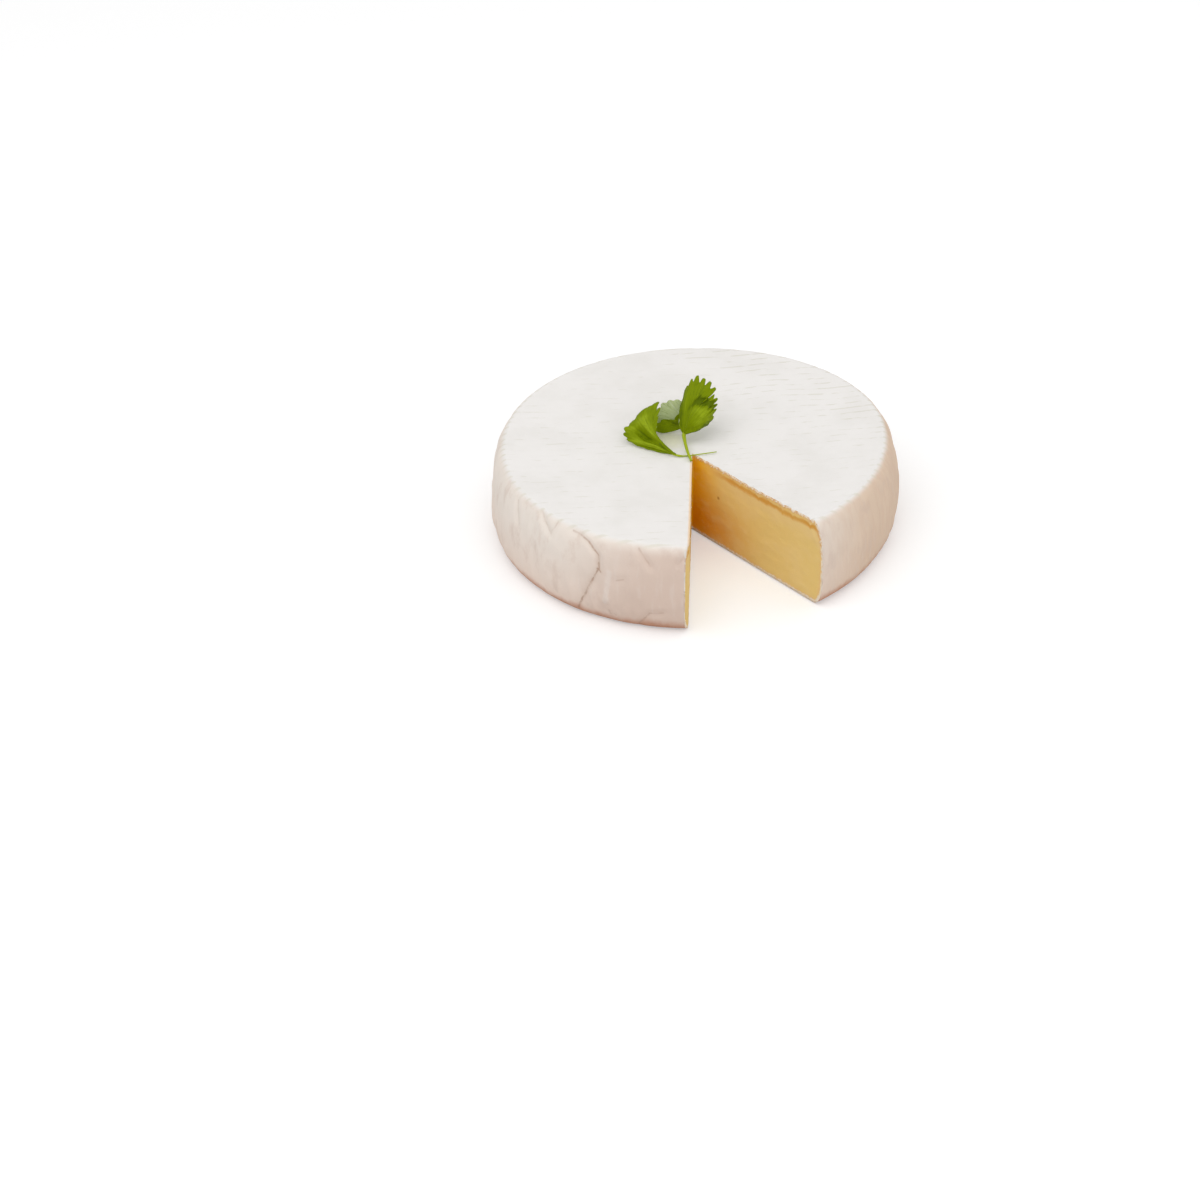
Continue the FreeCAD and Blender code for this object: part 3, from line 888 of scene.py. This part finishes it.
FORK = Vector((-2.65, 2.33, 26.0))
TROUGH_FOOT = Vector((0.45, 6.5, 26.9))
UPRIGHT = (
    (0.26, -0.045, 0.07, -0.02, -0.04, 0.02),
    (0.39, -0.045, 0.135, -0.03, -0.08, 0.05),
    (0.49, -0.014, 0.23, -0.04, -0.09, 0.06),
    (0.56, 0.036, 0.337, -0.05, -0.09, 0.06),
    (0.59, 0.072, 0.405, -0.06, -0.08, 0.06),
    (0.62, 0.116, 0.486, -0.08, -0.06, 0.07),
    (0.575, 0.17, 0.54, -0.09, -0.05, 0.08),
    (0.62, 0.21, 0.62, -0.09, -0.05, 0.08),
    (0.563, 0.294, 0.715, -0.08, -0.05, 0.07),
    (0.48, 0.35, 0.755, -0.05, -0.05, 0.05),
    (0.384, 0.413, 0.796, -0.03, -0.04, 0.03),
    (0.265, 0.417, 0.742, -0.04, -0.02, 0.02),
    (0.2, 0.44, 0.62, -0.05, 0.0, 0.01),
    (0.16, 0.42, 0.45, -0.07, 0.03, 0.0),
    (0.1, 0.25, 0.25, -0.08, 0.02, 0.0),
)
UPRIGHT_CUTS = (0.02, 0.05, 0.06, 0.08, 0.09, 0.06, 0.22, 0.08, 0.09, 0.1, 0.08, 0.05, 0.03, 0.02)
UPRIGHT_POCKETS = (
    (3.5, 0.6, -0.062, 4.6, 0.33, 1.3, 0.2),
    (4.6, 0.67, -0.07, 2.8, 0.12, 0.25, 0.5),
    (6.6, 0.72, -0.079, 3.2, 0.1, -0.7, -1.4),
    (0.8, 0.85, 0.0, 1.3, 0.3, -0.2, -0.8),
    (12.8, 0.6, 0.0, 1.2, 0.5, 0.0, -0.7),
)
TROUGH = (
    (-0.204, -0.108, 0.142, 0.0, -0.01, -0.03),
    (-0.404, 0.008, 0.142, 0.0, -0.02, -0.05),
    (-0.588, 0.15, 0.108, 0.0, -0.03, -0.09),
    (-0.72, 0.208, -0.02, 0.0, -0.03, -0.12),
    (-0.78, 0.208, -0.15, 0.0, -0.02, -0.13),
    (-0.788, 0.258, -0.17, 0.0, 0.0, -0.11),
    (-0.738, 0.342, 0.008, 0.0, 0.03, -0.08),
    (-0.638, 0.4, 0.217, 0.0, 0.04, -0.05),
    (-0.52, 0.392, 0.358, 0.0, 0.04, -0.04),
    (-0.37, 0.35, 0.442, 0.0, 0.03, -0.02),
    (-0.204, 0.275, 0.475, 0.0, 0.02, 0.0),
    (-0.088, 0.192, 0.458, 0.0, 0.01, 0.0),
)
TROUGH_CUTS = (0.03, 0.04, 0.04, 0.05, 0.05, 0.05, 0.06, 0.06, 0.05, 0.05, 0.04)
TROUGH_POCKETS = ((1.2, 0.7, 0.0, 1.0, 0.5, 0.0, -0.3),)
CURLED_FOOT = Vector((-6.88, -4.57, 24.25))
CURLED = (
    (-0.38, 0.32, 0.01, 0.0, -0.01, 0.0),
    (-0.52, 0.49, 0.03, 0.0, 0.0, 0.01),
    (-0.61, 0.59, 0.05, 0.0, 0.0, 0.02),
    (-0.64, 0.69, 0.1, 0.0, 0.0, 0.03),
    (-0.6, 0.78, 0.16, -0.03, 0.0, 0.04),
    (-0.48, 0.8, 0.24, -0.08, 0.0, 0.06),
    (-0.34, 0.84, 0.33, -0.14, 0.0, 0.07),
    (-0.17, 0.9, 0.4, -0.19, 0.0, 0.06),
    (0.03, 0.95, 0.42, -0.24, -0.01, 0.05),
    (0.0, 0.8, 0.39, -0.24, -0.02, 0.02),
    (-0.08, 0.66, 0.33, -0.19, -0.03, 0.0),
    (-0.16, 0.52, 0.27, -0.13, -0.03, -0.02),
)
CURLED_CUTS = (0.03, 0.04, 0.045, 0.05, 0.05, 0.03, 0.015, 0.03, 0.12, 0.07, 0.05)
CURLED_POCKETS = (
    (3.4, 0.86, 0.0, 1.9, 0.2, 0.5, 0.5),
    (4.6, 0.6, 0.02, 1.3, 0.18, -0.9, -0.75),
    (2.9, 0.93, 0.0, 0.5, 0.06, 0.2, -0.9),
    (5.9, 0.6, 0.03, 0.7, 0.3, 0.5, 0.9),
    (1.0, 0.55, 0.0, 1.2, 0.3, -0.3, -0.3),
    (2.2, 0.45, 0.0, 0.8, 0.35, 0.35, 0.8),
    (6.8, 0.6, 0.0, 0.8, 0.3, 0.3, 0.7),
    (10.4, 0.4, 0.0, 1.2, 0.3, 0.0, -0.9),
)


def sprig(bm):
    upright = Blade(
        FORK, 16.6, UPRIGHT, UPRIGHT_CUTS, (3, 9), 0.4, (-0.3, -0.85, 0.35), UPRIGHT_POCKETS
    )
    upright.build(bm, UNDERSIDE, UPPER_SIDE)
    trough = Blade(
        TROUGH_FOOT, 12.0, TROUGH, TROUGH_CUTS, (2, 5, 9), 1.9, (-0.3, -0.85, 0.35), TROUGH_POCKETS
    )
    trough.build(bm, UNDERSIDE, UPPER_SIDE)
    draw_stalk(
        bm,
        [(-4.55, -8.35, 24.35), (-4.4, -6.2, 24.75), (-3.85, -3.0, 24.9), (-3.2, 0.2, 25.3), FORK,
         FORK + Vector((0.9, 0.9, 1.2)), FORK + Vector((2.4, 1.9, 3.6))],
        [0.33, 0.36, 0.4, 0.45, 0.55, 0.36, 0.12],
    )
    draw_stalk(
        bm,
        [FORK, FORK + Vector((1.3, 2.4, 0.9)), TROUGH_FOOT,
         TROUGH_FOOT + Vector((-1.6, 0.6, -0.4))],
        [0.4, 0.3, 0.28, 0.12],
    )


def curled_leaf(bm):
    blade = Blade(
        CURLED_FOOT, 17.4, CURLED, CURLED_CUTS, (2, 7), 0.9, (-0.2, -0.5, 0.8), CURLED_POCKETS
    )
    blade.build(bm, UPPER_SIDE, UNDERSIDE)
    draw_stalk(
        bm,
        [(3.5, -6.1, 24.2), (0.2, -5.7, 24.1), (-3.7, -5.35, 24.05), (-5.6, -5.0, 24.1),
         CURLED_FOOT, CURLED_FOOT + Vector((-1.6, 1.5, 0.1))],
        [0.12, 0.14, 0.16, 0.2, 0.3, 0.15],
        10,
    )


herb("parsley_sprig", "sprig", sprig)
herb("parsley_curled_leaf", "curled_leaf", curled_leaf)
